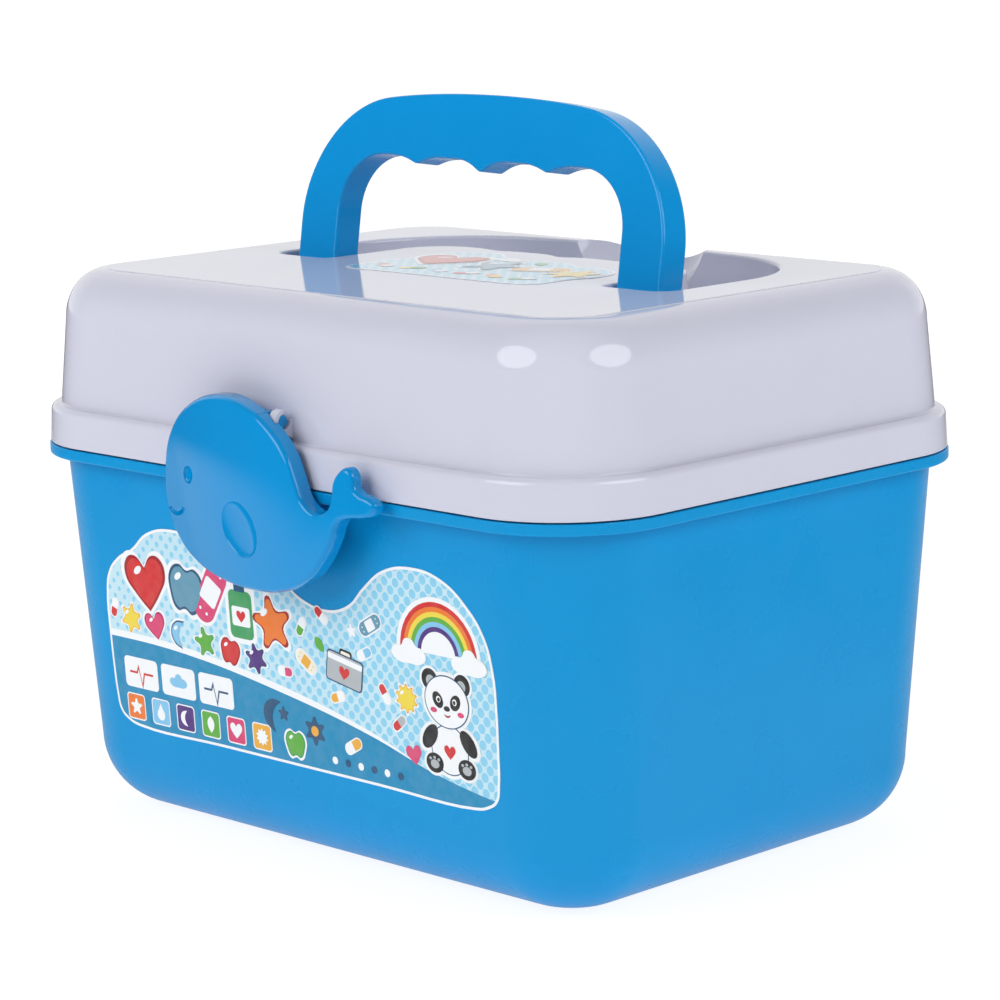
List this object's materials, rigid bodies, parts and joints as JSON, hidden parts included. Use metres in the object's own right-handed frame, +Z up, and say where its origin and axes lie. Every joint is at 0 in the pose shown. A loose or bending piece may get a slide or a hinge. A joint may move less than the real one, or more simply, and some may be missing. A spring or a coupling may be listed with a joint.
{
  "type": "toy carrying case",
  "caption": "Child's moulded carrying case: tapered tub, hinged lid with a recess for its folding grip handle, and a swinging front latch in the shape of a small whale.",
  "frame": {"origin": "middle of the tub's underside, on the plane that the case stands on", "axes": "+X along the case's long side to the right of someone facing the latch, +Z up, -Y towards the latch"},
  "size_m": [0.2306, 0.1894, 0.2101],
  "materials": {
    "tub_blue": "smooth injection-moulded polypropylene, soft gloss",
    "lid_white": "polished injection-moulded polystyrene, high gloss",
    "handle_blue": "smooth injection-moulded polypropylene, soft gloss",
    "latch_blue": "smooth injection-moulded polypropylene, gloss",
    "front_label_paper": "coated print label, glossy",
    "top_label_paper": "coated print label, glossy"
  },
  "bodies": {
    "tub_body": {"tub": "tub_blue", "front_label": "front_label_paper"},
    "lid_body": {"lid": "lid_white", "top_label": "top_label_paper"},
    "handle_body": {"handle": "handle_blue"},
    "latch_body": {"latch": "latch_blue"}
  },
  "joints": [
    {"name": "lid_hinge", "type": "hinge", "parent": "tub_body", "child": "lid_body", "pos_m": [0, 0.09165, 0.1087], "axis": [-1, 0, 0], "range_deg": [0, 110]},
    {"name": "handle_pivot", "type": "hinge", "parent": "lid_body", "child": "handle_body", "pos_m": [0, -0.0034, 0.1527], "axis": [-1, 0, 0], "range_deg": [-30, 81.2]},
    {"name": "latch_pivot", "type": "hinge", "parent": "lid_body", "child": "latch_body", "pos_m": [0, -0.08601, 0.1278], "axis": [-1, 0, 0], "range_deg": [0, 45]}
  ]
}
